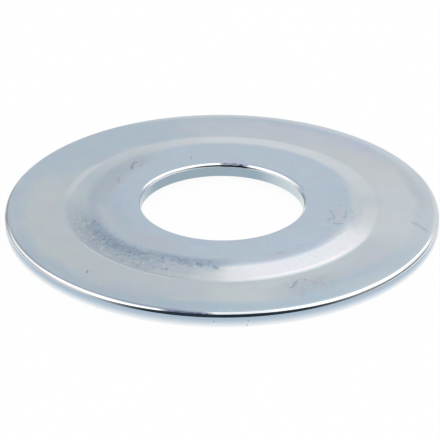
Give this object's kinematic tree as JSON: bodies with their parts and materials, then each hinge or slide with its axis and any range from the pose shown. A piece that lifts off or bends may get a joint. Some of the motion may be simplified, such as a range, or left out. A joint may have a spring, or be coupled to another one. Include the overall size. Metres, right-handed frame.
{
  "type": "belleville washer",
  "caption": "Dished belleville-style disc washer: flat outer ring that steps up to a raised flat centre round a plain bore, stamped in zinc-plated steel.",
  "frame": {"origin": "on the bore's axis, in the plane of the ring's underside, which the washer rests on", "axes": "+Z along the bore's axis, towards the side that the centre is raised on; the washer is the same all round, so +X is any radius"},
  "size_m": [0.045, 0.045, 0.0019],
  "materials": {
    "zinc_plate": "bright blue-passivated zinc plating, semi-gloss, lightly tumbled"
  },
  "bodies": {
    "root": {"washer": "zinc_plate"}
  },
  "joints": []
}
